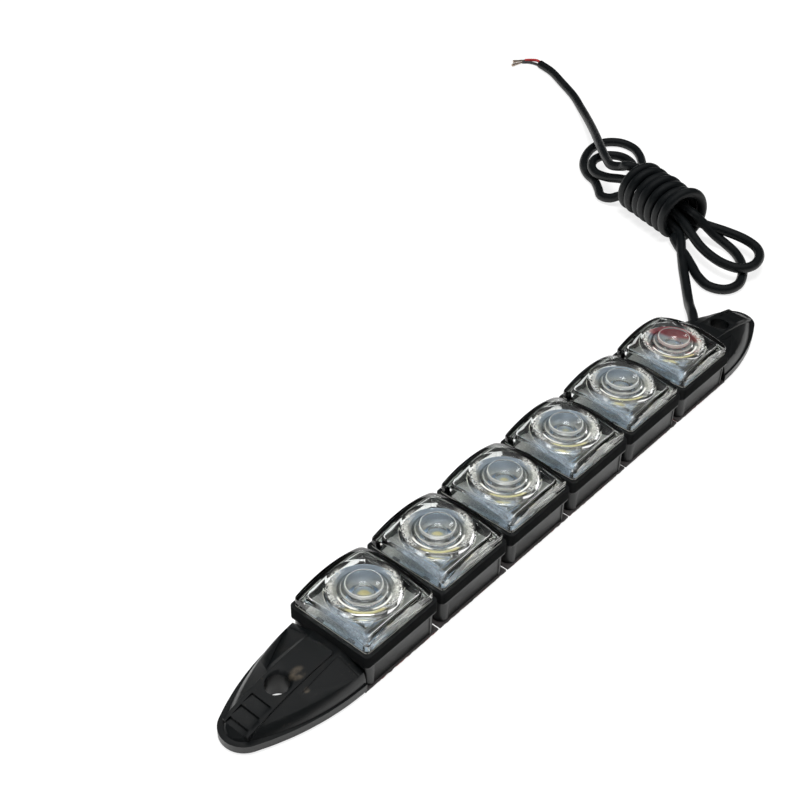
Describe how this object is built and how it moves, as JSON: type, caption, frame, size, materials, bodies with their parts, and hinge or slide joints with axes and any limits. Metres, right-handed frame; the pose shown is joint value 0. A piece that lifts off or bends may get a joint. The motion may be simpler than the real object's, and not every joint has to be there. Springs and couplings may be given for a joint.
{
  "type": "daytime running light",
  "caption": "Flexible strip of square lamp modules with clear domed lenses, joined by a wire ribbon, with a screw-down cap at each end and a hanked supply cord.",
  "frame": {"origin": "under the middle of the strip, on the face that is stuck to the car", "axes": "+X along the strip towards the cord, +Z the way the lamps shine"},
  "size_m": [0.2854, 0.1576, 0.0158],
  "materials": {
    "housing": "semi-gloss moulded plastic",
    "clear_lens": "polished clear plastic",
    "circuit_board": "pale solder mask",
    "lamp_package": "white package with a yellow window",
    "foam_tape": "foam with a red liner",
    "ribbon": "clear grey ribbon",
    "red_wire": "soft wire insulation",
    "black_wire": "soft wire insulation",
    "cord_jacket": "smooth soft jacket",
    "tinned_strands": "tinned copper strands"
  },
  "bodies": {
    "module_1": {"base_1": "housing", "lens_1": "clear_lens", "board_1": "circuit_board", "led_1": "lamp_package", "tape_1": "foam_tape", "near_end_cap": "housing"},
    "module_2": {"base_2": "housing", "lens_2": "clear_lens", "board_2": "circuit_board", "led_2": "lamp_package", "tape_2": "foam_tape", "link_1": "ribbon"},
    "module_3": {"base_3": "housing", "lens_3": "clear_lens", "board_3": "circuit_board", "led_3": "lamp_package", "tape_3": "foam_tape", "link_2": "ribbon"},
    "module_4": {"base_4": "housing", "lens_4": "clear_lens", "board_4": "circuit_board", "led_4": "lamp_package", "tape_4": "foam_tape", "link_3": "ribbon"},
    "module_5": {"base_5": "housing", "lens_5": "clear_lens", "board_5": "circuit_board", "led_5": "lamp_package", "tape_5": "foam_tape", "link_4": "ribbon"},
    "module_6": {"base_6": "housing", "lens_6": "clear_lens", "board_6": "circuit_board", "led_6": "lamp_package", "tape_6": "foam_tape", "link_5": "ribbon", "far_end_cap": "housing", "supply_wire_red": "red_wire", "supply_wire_black": "black_wire", "cord_lead": "cord_jacket", "cord_loops_near": "cord_jacket", "cord_wraps": "cord_jacket", "cord_loops_far": "cord_jacket", "cord_tail": "cord_jacket", "lead_red": "red_wire", "lead_black": "black_wire", "tip_red": "tinned_strands", "tip_black": "tinned_strands"}
  },
  "joints": [
    {"name": "flex_1", "type": "hinge", "parent": "module_2", "child": "module_1", "pos_m": [-0.0456, 0, 0.00025], "axis": [0, -1, 0], "range_deg": [-6, 35], "deforming": ["link_1"]},
    {"name": "flex_2", "type": "hinge", "parent": "module_3", "child": "module_2", "pos_m": [-0.0228, 0, 0.00025], "axis": [0, -1, 0], "range_deg": [-6, 35], "deforming": ["link_2"]},
    {"name": "flex_3", "type": "hinge", "parent": "module_4", "child": "module_3", "pos_m": [0, 0, 0.00025], "axis": [0, -1, 0], "range_deg": [-6, 35], "deforming": ["link_3"]},
    {"name": "flex_4", "type": "hinge", "parent": "module_5", "child": "module_4", "pos_m": [0.0228, 0, 0.00025], "axis": [0, -1, 0], "range_deg": [-6, 35], "deforming": ["link_4"]},
    {"name": "flex_5", "type": "hinge", "parent": "module_6", "child": "module_5", "pos_m": [0.0456, 0, 0.00025], "axis": [0, -1, 0], "range_deg": [-6, 35], "deforming": ["link_5"]}
  ]
}
